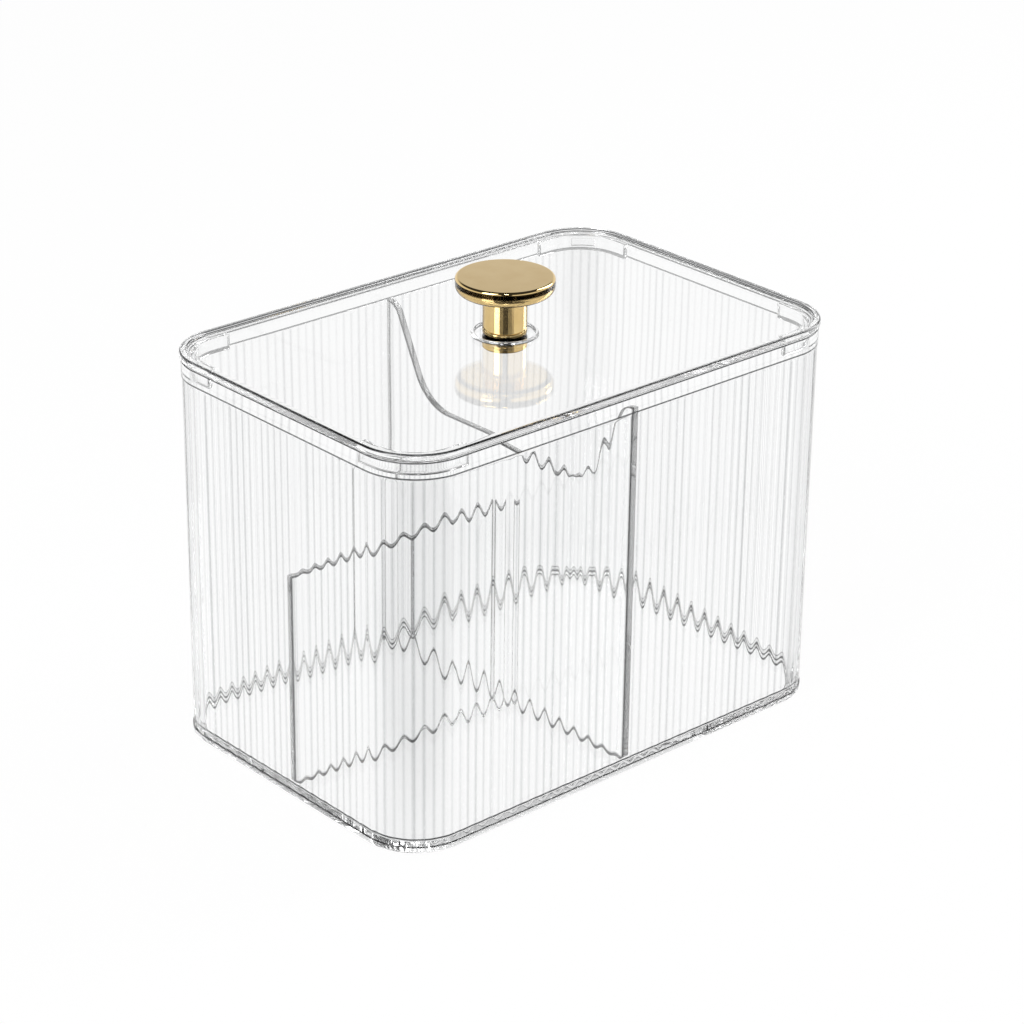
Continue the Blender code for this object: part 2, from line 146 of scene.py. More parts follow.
def make_table():
    material = bpy.data.materials.new("white_paper")
    tree = new_nodes(material)
    paper = node(tree, "ShaderNodeBsdfDiffuse")
    paper.inputs["Color"].default_value = TABLE_WHITE
    glow = node(tree, "ShaderNodeEmission")
    glow.inputs["Color"].default_value = FULL_WHITE
    lit = node(tree, "ShaderNodeMath", operation="SUBTRACT")
    lit.inputs[0].default_value = 1.0
    tree.links.new(black_card(tree, "Object"), lit.inputs[1])
    tree.links.new(lit.outputs[0], glow.inputs["Strength"])
    share = node(tree, "ShaderNodeMath", operation="MULTIPLY")
    share.inputs[1].default_value = TABLE_GLOW
    blend = node(tree, "ShaderNodeMixShader")
    output = node(tree, "ShaderNodeOutputMaterial")
    tree.links.new(seen_directly_or_through(tree), share.inputs[0])
    tree.links.new(share.outputs[0], blend.inputs[0])
    tree.links.new(paper.outputs[0], blend.inputs[1])
    tree.links.new(glow.outputs[0], blend.inputs[2])
    tree.links.new(blend.outputs[0], output.inputs["Surface"])

    bm = bmesh.new()
    bmesh.ops.create_grid(bm, x_segments=1, y_segments=1, size=TABLE_SIZE / 2)
    bmesh.ops.translate(bm, verts=bm.verts, vec=(0, 0, -TABLE_DROP))
    mesh = bpy.data.meshes.new("white_table")
    bm.to_mesh(mesh)
    bm.free()
    mesh.materials.append(material)
    table = bpy.data.objects.new("white_table", mesh)
    bpy.context.scene.collection.objects.link(table)


def make_world():
    world = bpy.data.worlds.new("studio")
    bpy.context.scene.world = world
    tree = new_nodes(world)
    direction = node(tree, "ShaderNodeTexCoord")
    parts = node(tree, "ShaderNodeSeparateXYZ")
    height = node(tree, "ShaderNodeMapRange", interpolation_type="SMOOTHSTEP")
    height.inputs["From Min"].default_value = HORIZON_SINE
    height.inputs["From Max"].default_value = CEILING_SINE
    through = node(tree, "ShaderNodeMapRange", interpolation_type="SMOOTHSTEP")
    through.inputs["From Min"].default_value = SHADE_LOW_SINE
    through.inputs["From Max"].default_value = SHADE_HIGH_SINE
    shade = node(tree, "ShaderNodeMix", data_type="FLOAT")
    darker = node(tree, "ShaderNodeMath", operation="MAXIMUM")
    sky = node(tree, "ShaderNodeMix", data_type="RGBA")
    sky.inputs[6].default_value = FULL_WHITE
    sky.inputs[7].default_value = CEILING_LIGHT
    direct = node(tree, "ShaderNodeMix", data_type="RGBA")
    direct.inputs[7].default_value = FULL_WHITE
    path = node(tree, "ShaderNodeLightPath")
    background = node(tree, "ShaderNodeBackground")
    output = node(tree, "ShaderNodeOutputWorld")
    tree.links.new(direction.outputs["Generated"], parts.inputs[0])
    tree.links.new(parts.outputs["Z"], height.inputs["Value"])
    tree.links.new(parts.outputs["Z"], through.inputs["Value"])
    tree.links.new(path.outputs["Is Transmission Ray"], shade.inputs[0])
    tree.links.new(height.outputs["Result"], shade.inputs[2])
    tree.links.new(through.outputs["Result"], shade.inputs[3])
    tree.links.new(shade.outputs[0], darker.inputs[0])
    tree.links.new(black_card(tree, "Generated"), darker.inputs[1])
    tree.links.new(darker.outputs[0], sky.inputs[0])
    tree.links.new(path.outputs["Is Camera Ray"], direct.inputs[0])
    tree.links.new(sky.outputs[2], direct.inputs[6])
    tree.links.new(direct.outputs[2], background.inputs["Color"])
    tree.links.new(background.outputs[0], output.inputs["Surface"])


def add_softbox(name, turn, rise, distance, width, height, watts):
    """Area lamp aimed at the organizer, at a bearing from the +X axis and a height above the table."""
    lamp = bpy.data.lights.new(name, "AREA")
    lamp.shape = "RECTANGLE"
    lamp.size = width
    lamp.size_y = height
    lamp.energy = watts
    holder = bpy.data.objects.new(name, lamp)
    bpy.context.scene.collection.objects.link(holder)
    away = Vector((math.cos(turn) * math.cos(rise), math.sin(turn) * math.cos(rise), math.sin(rise)))
    aim = Vector((0, 0, cad_high.z / 2))
    turned = away.to_track_quat("Z", "Y").to_matrix().to_4x4()
    holder.matrix_world = Matrix.Translation(aim + away * distance) @ turned


make_table()
make_world()
add_softbox("left_softbox", LEFT_TURN, LEFT_RISE, distance=1.1, width=0.5, height=0.8, watts=9.0)
add_softbox("right_softbox", RIGHT_TURN, RIGHT_RISE, distance=1.1, width=0.4, height=0.8, watts=8.0)
add_softbox("front_softbox", CARD_TURN, FRONT_RISE, distance=1.2, width=0.16, height=0.22, watts=1.6)

bpy.context.scene.view_settings.view_transform = "Standard"
bpy.context.scene.cycles.max_bounces = LIGHT_BOUNCES
bpy.context.scene.cycles.transmission_bounces = LIGHT_BOUNCES
bpy.context.scene.cycles.glossy_bounces = LIGHT_BOUNCES


# Camera
# A long lens, looking down on the corner where the front and left walls meet.

CAMERA_AIM = Vector((5.1, 1.3, 66.7)) * MM
CAMERA_DISTANCE = 1010.0 * MM
CAMERA_TURN = math.radians(-41.904)
CAMERA_RISE = math.radians(24.666)
CAMERA_ROLL = math.radians(0.690)
CAMERA_LENS = 111.0
SENSOR_WIDTH = 36.0
NEAREST_SEEN = 0.01
FARTHEST_SEEN = 50.0


def make_camera():
    camera = bpy.data.cameras.new("camera")
    camera.lens = CAMERA_LENS
    camera.sensor_width = SENSOR_WIDTH
    camera.clip_start = NEAREST_SEEN
    camera.clip_end = FARTHEST_SEEN
    holder = bpy.data.objects.new("camera", camera)
    bpy.context.scene.collection.objects.link(holder)
    flat = math.cos(CAMERA_RISE)
    back = Vector((math.sin(CAMERA_TURN) * flat, -math.cos(CAMERA_TURN) * flat, math.sin(CAMERA_RISE)))
    turn = back.to_track_quat("Z", "Y").to_matrix().to_4x4() @ Matrix.Rotation(CAMERA_ROLL, 4, "Z")
    holder.matrix_world = Matrix.Translation(CAMERA_AIM + back * CAMERA_DISTANCE) @ turn
    bpy.context.scene.camera = holder


make_camera()


# Box
# One injection moulding in clear plastic. Hollow flutes run up the outside between a plain rim at
# the base and a plain band at the top; the inside is smooth, with a small fillet round the floor.
# Grey and dark lines are painted shade in the plastic's colour: grey on the flutes' steep flanks and
# round the corners, dark lines at the base, rim, lip and the foot of the flutes, and grey with dark
# lines on the floor fillet where the floor joins the wall.

BOX_CORNER = 19.0 * MM
BOX_WALL = 2.6 * MM
BOX_FLOOR = 2.6 * MM
BASE_ROUND = 0.7 * MM
RIM_TOP = 2.2 * MM
RIM_ROUND = 0.3 * MM
BAND_HEIGHT = 5.3 * MM
BAND_ROUND = 0.5 * MM
LIP_ROUND = 0.3 * MM
FLOOR_FILLET = 1.5 * MM
FILLET_SHADE_STEPS = 2
FLUTE_COUNT = 92
FLUTE_STEPS = 24
FLUTE_LAND = 0.2 * MM
FLUTE_DEPTH = 0.16 * MM
COVE_HEIGHT = 1.2 * MM
FOOT_BAND = 2.2 * MM
FOOT_LINE = 0.3 * MM
# Painted shade: the grey band at the foot of the flutes and the grey of the floor fillet.
FOOT_PAINTED_SHADE = 0.3
FILLET_PAINTED_SHADE = 0.12
FILLET_STEPS = 8
EDGE_STEPS = 4
BASE_SHADE_STEP = 2
ROUND_STEPS = 3
SHARP_DEGREES = 40.0
PLASTIC_IOR = 1.49
PLASTIC_CLEAR = (0.995, 0.997, 0.997, 1.0)
# Painted shade: grey painted on the flutes' steep flanks, near black painted at edges, and darkening painted
# at grazing angles.
PAINTED_FLANK_SHADE = (0.52, 0.53, 0.54, 1.0)
PAINTED_EDGE_SHADE = (0.025, 0.026, 0.027, 1.0)
GRAZING_START = 0.74
GRAZING_DARK = 1.0
FLANK_SHARPNESS = 8
# Painted shade on the flutes' flanks varies from flute to flute and grows round the corners.
LEAST_FLUTE_SHADE = 0.35
FLUTE_SPREAD = 0.618
CORNER_PAINTED_SHADE = 0.5
FLOW_SCALE = 24.0
FLOW_STRENGTH = 0.02
FLOW_DEPTH = 0.5 * MM
GRAIN_SCALE = 420.0
GRAIN_DETAIL = 3.0
PLASTIC_HAZE = 0.02
WELD = 0.001 * MM


def stations(length, width, radius, count):
    """Evenly spaced points and outward normals on a rounded rectangle, from the middle of its +X side."""
    side_x = length - 2 * radius
    side_y = width - 2 * radius
    bend = radius * math.pi / 2
    spans = (side_y / 2, bend, side_x, bend, side_y, bend, side_x, bend, side_y / 2)
    found = []
    for index in range(count):
        left = sum(spans) * index / count
        place = Vector((length / 2, 0, 0))
        heading = Vector((0, 1, 0))
        for turn, span in enumerate(spans):
            run = min(left, span)
            outward = Vector((heading.y, -heading.x, 0))
            if turn % 2:
                swing = Matrix.Rotation(run / radius, 3, "Z")
                centre = place - outward * radius
                outward = swing @ outward
                heading = swing @ heading
                place = centre + outward * radius
            else:
                place = place + heading * run
            left -= run
            if left <= 0:
                break
        found.append((place, outward))
    return found


def quarter_round(inset, height, radius, start, end, steps):
    """Points on an arc about (inset, height), with angles in degrees from outward towards up."""
    points = []
    for step in range(steps + 1):
        angle = math.radians(start + (end - start) * step / steps)
        points.append((inset - radius * math.cos(angle), height + radius * math.sin(angle)))
    return points


def first_ring(bm, count):
    """A ring of edges whose vertices carry their station's number round the outline."""
    number = bm.verts.layers.int.new("station")
    made = bmesh.ops.create_circle(bm, segments=count, radius=1.0)
    for index, vert in enumerate(made["verts"]):
        vert[number] = index
    return bm.edges[:]


def place_ring(bm, ring, place):
    number = bm.verts.layers.int["station"]
    for vert in {vert for edge in ring for vert in edge.verts}:
        vert.co = place(vert[number])
    return ring


def next_ring(bm, ring, place):
    """Extrude a ring of edges and put each new vertex where its station belongs."""
    made = bmesh.ops.extrude_edge_only(bm, edges=ring)["geom"]
    fresh = {item for item in made if isinstance(item, bmesh.types.BMVert)}
    edges = [item for item in made if isinstance(item, bmesh.types.BMEdge)]
    return place_ring(bm, [edge for edge in edges if set(edge.verts) <= fresh], place)


def mark_ring(ring, layer, value):
    """Note on the faces just made below a ring how dark a line of painted shade they carry."""
    for edge in ring:
        for face in edge.link_faces:
            face[layer] = value


def new_piece(name, bm, material):
    """The finished object: smooth, except at its sharp edges."""
    bmesh.ops.recalc_face_normals(bm, faces=bm.faces)
    mesh = bpy.data.meshes.new(name)
    bm.to_mesh(mesh)
    bm.free()
    mesh.shade_smooth()
    mesh.set_sharp_from_angle(angle=math.radians(SHARP_DEGREES))
    mesh.materials.append(material)
    piece = bpy.data.objects.new(name, mesh)
    bpy.context.scene.collection.objects.link(piece)
    evened = piece.modifiers.new("even_normals", "WEIGHTED_NORMAL")
    evened.keep_sharp = True
    return piece


def flow_marks_and_painted_shade():
    """Node group: flow marks and haze in clear plastic, with painted shade: grey on steep flanks, near black
    at edges.
    """
    group = bpy.data.node_groups.new("flow_marks_and_painted_shade", "ShaderNodeTree")
    face = group.interface
    face.new_socket("Clear", in_out="INPUT", socket_type="NodeSocketColor")
    face.new_socket("Shade", in_out="INPUT", socket_type="NodeSocketColor")
    face.new_socket("Dark", in_out="INPUT", socket_type="NodeSocketColor")
    face.new_socket("Flank", in_out="INPUT", socket_type="NodeSocketFloat")
    face.new_socket("Edge", in_out="INPUT", socket_type="NodeSocketFloat")
    face.new_socket("Haze", in_out="INPUT", socket_type="NodeSocketFloat")
    face.new_socket("Color", in_out="OUTPUT", socket_type="NodeSocketColor")
    face.new_socket("Roughness", in_out="OUTPUT", socket_type="NodeSocketFloat")
    face.new_socket("Height", in_out="OUTPUT", socket_type="NodeSocketFloat")
    given = group.nodes.new("NodeGroupInput")
    result = group.nodes.new("NodeGroupOutput")
    place = node(group, "ShaderNodeTexCoord")
    flow = node(group, "ShaderNodeTexNoise")
    flow.inputs["Scale"].default_value = FLOW_SCALE
    grain = node(group, "ShaderNodeTexNoise")
    grain.inputs["Scale"].default_value = GRAIN_SCALE
    grain.inputs["Detail"].default_value = GRAIN_DETAIL
    # Painted shade: the Flank mask mixes the clear colour towards grey, then the Edge mask towards near
    # black.
    shade = node(group, "ShaderNodeMix", data_type="RGBA")
    edged = node(group, "ShaderNodeMix", data_type="RGBA")
    haze = node(group, "ShaderNodeMath", operation="MULTIPLY")
    links = group.links
    links.new(place.outputs["Object"], flow.inputs["Vector"])
    links.new(place.outputs["Object"], grain.inputs["Vector"])
    links.new(given.outputs["Flank"], shade.inputs[0])
    links.new(given.outputs["Clear"], shade.inputs[6])
    links.new(given.outputs["Shade"], shade.inputs[7])
    links.new(grain.outputs[0], haze.inputs[0])
    links.new(given.outputs["Haze"], haze.inputs[1])
    links.new(given.outputs["Edge"], edged.inputs[0])
    links.new(shade.outputs[2], edged.inputs[6])
    links.new(given.outputs["Dark"], edged.inputs[7])
    links.new(edged.outputs[2], result.inputs["Color"])
    links.new(haze.outputs[0], result.inputs["Roughness"])
    links.new(flow.outputs[0], result.inputs["Height"])
    return group


plastic_marks_and_shade = flow_marks_and_painted_shade()


def clear_plastic(name, flank_shade_attribute=None):
    """Glass-clear moulded plastic with painted shade: attributes say how grey its steep flanks and how dark
    its edges are painted, and grazing angles are painted dark too.
    """
    material = bpy.data.materials.new(name)
    tree = new_nodes(material)
    marks = node(tree, "ShaderNodeGroup")
    marks.node_tree = plastic_marks_and_shade
    marks.inputs["Clear"].default_value = PLASTIC_CLEAR
    marks.inputs["Shade"].default_value = PAINTED_FLANK_SHADE
    marks.inputs["Dark"].default_value = PAINTED_EDGE_SHADE
    marks.inputs["Haze"].default_value = PLASTIC_HAZE
    # Painted shade: the edge attribute and the surface's Facing darken the colour at edges and at grazing
    # angles.
    edge = node(tree, "ShaderNodeAttribute", attribute_name="edge")
    facing = node(tree, "ShaderNodeLayerWeight")
    grazing_shade = node(tree, "ShaderNodeMapRange", interpolation_type="SMOOTHSTEP")
    grazing_shade.inputs["From Min"].default_value = GRAZING_START
    grazing_shade.inputs["From Max"].default_value = 1.0
    grazing_shade.inputs["To Max"].default_value = GRAZING_DARK
    painted_dark_amount = node(tree, "ShaderNodeMath", operation="MAXIMUM")
    tree.links.new(facing.outputs["Facing"], grazing_shade.inputs["Value"])
    tree.links.new(edge.outputs["Fac"], painted_dark_amount.inputs[0])
    tree.links.new(grazing_shade.outputs[0], painted_dark_amount.inputs[1])
    tree.links.new(painted_dark_amount.outputs[0], marks.inputs["Edge"])
    if flank_shade_attribute:
        flank_shade = node(tree, "ShaderNodeAttribute", attribute_name=flank_shade_attribute)
        tree.links.new(flank_shade.outputs["Fac"], marks.inputs["Flank"])
    bump = node(tree, "ShaderNodeBump")
    bump.inputs["Strength"].default_value = FLOW_STRENGTH
    bump.inputs["Distance"].default_value = FLOW_DEPTH
    shader = node(tree, "ShaderNodeBsdfPrincipled")
    shader.inputs["Transmission Weight"].default_value = 1.0
    shader.inputs["IOR"].default_value = PLASTIC_IOR
    output = node(tree, "ShaderNodeOutputMaterial")
    tree.links.new(marks.outputs["Color"], shader.inputs["Base Color"])
    tree.links.new(marks.outputs["Roughness"], shader.inputs["Roughness"])
    tree.links.new(marks.outputs["Height"], bump.inputs["Height"])
    tree.links.new(bump.outputs[0], shader.inputs["Normal"])
    tree.links.new(shader.outputs[0], output.inputs["Surface"])
    return material


def make_box():
    low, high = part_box("box")
    length = high.x - low.x
    width = high.y - low.y
    count = FLUTE_COUNT * FLUTE_STEPS
    outline = stations(length, width, BOX_CORNER, count)
    turns = [math.pi * step / FLUTE_STEPS for step in range(FLUTE_STEPS)]
    drops = [FLUTE_DEPTH * math.sin(turn) ** 2 for turn in turns]
    # Painted shade mask: strongest on the steepest slopes of each flute.
    tilts = [abs(math.sin(2 * turn)) ** FLANK_SHARPNESS for turn in turns]

    band_bottom = high.z - BAND_HEIGHT
    # Each profile point is (inset, height, flute depth, painted edge shade).
    profile = []
    base_edge = quarter_round(BASE_ROUND, BASE_ROUND, BASE_ROUND, -90, 0, EDGE_STEPS)
    for step, point in enumerate(base_edge):
        profile.append((*point, 0.0, 1.0 if step == BASE_SHADE_STEP else 0.0))
    rim_edge = quarter_round(RIM_ROUND, RIM_TOP - RIM_ROUND, RIM_ROUND, 0, 60, ROUND_STEPS)
    for step, point in enumerate(rim_edge):
        profile.append((*point, 0.0, 1.0 if step else 0.0))
    profile.append((FLUTE_LAND, RIM_TOP, 1.0, 1.0))
    profile.append((FLUTE_LAND, RIM_TOP + FOOT_BAND, 1.0, FOOT_PAINTED_SHADE))
    profile.append((FLUTE_LAND, RIM_TOP + FOOT_BAND + FOOT_LINE, 1.0, 1.0))
    for step in range(FILLET_STEPS + 1):
        angle = math.pi / 2 * step / FILLET_STEPS
        depth = math.cos(angle)
        rise = band_bottom - COVE_HEIGHT * (1 - math.sin(angle))
        profile.append((FLUTE_LAND * depth, rise, depth, 0.0))
    profile.append((0.0, band_bottom + BAND_ROUND, 0.0, 1.0))
    lip = quarter_round(LIP_ROUND, high.z - LIP_ROUND, LIP_ROUND, 0, 90, ROUND_STEPS)
    for step, point in enumerate(lip):
        profile.append((*point, 0.0, 1.0 if step else 0.0))
    profile.append((BOX_WALL - LIP_ROUND, high.z, 0.0, 0.0))
    profile.append((BOX_WALL, high.z - LIP_ROUND, 0.0, 1.0))
    for step in range(FILLET_STEPS + 1):
        angle = math.pi / 2 * step / FILLET_STEPS
        inset = BOX_WALL + FLOOR_FILLET * (1 - math.cos(angle))
        dark = FILLET_PAINTED_SHADE if step else 0.0
        if 0 < step <= FILLET_SHADE_STEPS or step > FILLET_STEPS - FILLET_SHADE_STEPS:
            dark = 1.0
        profile.append((inset, BOX_FLOOR + FLOOR_FILLET * (1 - math.sin(angle)), 0.0, dark))

    bm = bmesh.new()
    bm.verts.layers.float.new("flank_shade")
    edge = bm.faces.layers.float.new("edge")

    def place_at(inset, height, depth):
        def place(station):
            point, outward = outline[station]
            drop = drops[station % FLUTE_STEPS] * depth
            return point - outward * (inset + drop) + Vector((0, 0, height))
        return place

    ring = first_ring(bm, count)
    number = bm.verts.layers.int["station"]
    flank_shade = bm.verts.layers.float["flank_shade"]
    place_ring(bm, ring, place_at(*profile[0][:3]))
    bmesh.ops.edgeloop_fill(bm, edges=ring)
    for inset, height, depth, dark in profile[1:]:
        ring = next_ring(bm, ring, place_at(inset, height, depth))
        mark_ring(ring, edge, dark)
        # Painted shade: grey on the flutes' flanks, varied from flute to flute, and more round the corners.
        for vert in {vert for side in ring for vert in side.verts}:
            flute = vert[number] // FLUTE_STEPS
            flute_shade_share = LEAST_FLUTE_SHADE + (1 - LEAST_FLUTE_SHADE) * (FLUTE_SPREAD * flute % 1)
            outward = outline[vert[number]][1]
            corner_shade = CORNER_PAINTED_SHADE * abs(outward.x * outward.y)
            vert[flank_shade] = depth * (tilts[vert[number] % FLUTE_STEPS] * flute_shade_share + corner_shade)
    bmesh.ops.edgeloop_fill(bm, edges=ring)
    piece = new_piece("fluted_box", bm, clear_plastic("clear_box_plastic", "flank_shade"))
    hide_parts("box")
    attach(piece, "base")


make_box()


# Dividers
# Two flat plates of the same clear plastic stand on the floor of the box. The tall one crosses from
# front to back and dips in the middle; the low one halves the space to its left.

# Painted shade: the plates' narrow sides grey, their rounded edges dark, and grey bands where they stand on
# the floor and meet the walls.
DIVIDER_ROUND = 0.4 * MM
DIVIDER_EDGE_PAINTED_SHADE = 0.5
CONTACT_SHADE_WIDTH = 0.9 * MM
CONTACT_PAINTED_SHADE = 0.45
SCOOP_DEPTH = 31.5 * MM
SCOOP_TOP_RADIUS = 6.0 * MM
SCOOP_VALLEY_RADIUS = 17.0 * MM
SCOOP_WALL_FLAT = 0.6 * MM
SCOOP_SLOPE = math.radians(64.0)
SCOOP_STEPS = 20


def plate_piece(name, outline, start, end, axis, material):
    """A flat plate: its outline's two numbers are along the table and up, its faces at start and end."""
    bm = bmesh.new()
    corners = []
    for along, up in outline:
        corners.append(bm.verts.new((start, along, up) if axis == "X" else (along, start, up)))
    face = bm.faces.new(corners)
    raised = bmesh.ops.extrude_face_region(bm, geom=[face])["geom"]
    far = [item for item in raised if isinstance(item, bmesh.types.BMVert)]
    shift = (end - start, 0, 0) if axis == "X" else (0, end - start, 0)
    bmesh.ops.translate(bm, verts=far, vec=shift)
    bmesh.ops.recalc_face_normals(bm, faces=bm.faces)
    rims = []
    for edge in bm.edges:
        if len(edge.link_faces) == 2 and max(len(face.verts) for face in edge.link_faces) > 4:
            rims.append(edge)
    # Painted shade on the plate's narrow sides, rounded edges and the bands where it meets floor and walls.
    edge = bm.faces.layers.float.new("edge")
    for face in bm.faces:
        if len(face.verts) == 4:
            face[edge] = DIVIDER_EDGE_PAINTED_SHADE
    rounds = bmesh.ops.bevel(
        bm, geom=rims, offset=DIVIDER_ROUND, segments=ROUND_STEPS, profile=0.5, affect="EDGES", material=-1
    )
    for face in rounds["faces"]:
        face[edge] = 1.0
    for index, toward in ((0, -1), (0, 1), (1, -1)):
        levels = [corner[index] for corner in outline]
        level = (max(levels) if toward > 0 else min(levels)) - toward * CONTACT_SHADE_WIDTH
        normal = (0, 0, toward) if index else ((0, toward, 0) if axis == "X" else (toward, 0, 0))
        point = [abs(part) * level for part in normal]
        geometry = bm.verts[:] + bm.edges[:] + bm.faces[:]
        bmesh.ops.bisect_plane(bm, geom=geometry, dist=WELD, plane_co=point, plane_no=normal)
        for face in bm.faces:
            past = (face.calc_center_median() - Vector(point)).dot(Vector(normal)) > 0
            if past and face[edge] == 0.0:
                face[edge] = CONTACT_PAINTED_SHADE
    return new_piece(name, bm, material)


def scoop_edge(end, top):
    """Top edge of the tall divider from its middle to its far end, as (along, up) points."""
    curved = (SCOOP_TOP_RADIUS + SCOOP_VALLEY_RADIUS) * (1 - math.cos(SCOOP_SLOPE))
    straight = (SCOOP_DEPTH - curved) / math.tan(SCOOP_SLOPE)
    crest_start = end - SCOOP_WALL_FLAT
    bends = (SCOOP_TOP_RADIUS + SCOOP_VALLEY_RADIUS) * math.sin(SCOOP_SLOPE)
    valley_end = crest_start - straight - bends
    points = []
    for step in range(SCOOP_STEPS + 1):
        angle = SCOOP_SLOPE * step / SCOOP_STEPS
        along = valley_end + SCOOP_VALLEY_RADIUS * math.sin(angle)
        points.append((along, top - SCOOP_DEPTH + SCOOP_VALLEY_RADIUS * (1 - math.cos(angle))))
    for step in range(SCOOP_STEPS + 1):
        angle = SCOOP_SLOPE * (1 - step / SCOOP_STEPS)
        along = crest_start - SCOOP_TOP_RADIUS * math.sin(angle)
        points.append((along, top - SCOOP_TOP_RADIUS * (1 - math.cos(angle))))
    return points


def make_dividers():
    low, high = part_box("tall_divider")
    side = scoop_edge(high.y, high.z)
    side.append((high.y, high.z))
    side.append((high.y, low.z + FLOOR_FILLET))
    side.append((high.y - FLOOR_FILLET, low.z))
    outline = side + [(-along, up) for along, up in reversed(side)]
    plastic = clear_plastic("clear_scooped_divider")
    tall = plate_piece("scooped_divider", outline, low.x, high.x, "X", plastic)
    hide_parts("tall_divider")
    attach(tall, "base")

    low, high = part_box("low_divider")
    outline = [
        (low.x, low.z + FLOOR_FILLET),
        (low.x + FLOOR_FILLET, low.z),
        (high.x, low.z),
        (high.x, high.z),
        (low.x, high.z),
    ]
    plastic = clear_plastic("clear_short_divider")
    short = plate_piece("short_divider", outline, low.y, high.y, "Y", plastic)
    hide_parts("low_divider")
    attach(short, "base")


make_dividers()


# Lid
# One clear moulding: a plate with a raised rim, a bead round the knob, and four lugs that drop
# inside the corners of the box, each with a raised pad that grips the wall.

# Painted shade: dark lines on the plate's edges, the rim's crest, the bead and the rounds of the lugs and
# pads, and grey at the rim's foot.
LID_COUNT = 720
LID_OVERHANG = 0.4 * MM
LID_CORNER = BOX_CORNER + LID_OVERHANG
LID_PLATE = 2.5 * MM
LID_EDGE_ROUND = 0.8 * MM
LID_SHADE_STEPS = (2, 3)
LID_RIM = 2.6 * MM
LID_RECESS = 0.8 * MM
LID_RIM_SLOPE = 0.6 * MM
RIM_LINE = 0.2 * MM
LUG_INSET = 3.6 * MM
LUG_THICKNESS = 1.6 * MM
LUG_HEIGHT = 5.1 * MM
LUG_RUN = 5.5 * MM
PAD_WIDTH = 8.3 * MM
PAD_HEIGHT = 2.6 * MM
PAD_PROUD = 0.3 * MM
PAD_SLOPE = 0.2 * MM
RIM_FOOT_PAINTED_SHADE = 0.3
LUG_PAINTED_SHADE = 0.8
LUG_ROUND = 0.4 * MM
SHARP_TURN = math.radians(50.0)
COLLAR_RADIUS = 10.0 * MM
COLLAR_BEAD = 1.4 * MM
COLLAR_HEIGHT = 0.9 * MM
COLLAR_STEPS = 10
BORE_RADIUS = 2.3 * MM


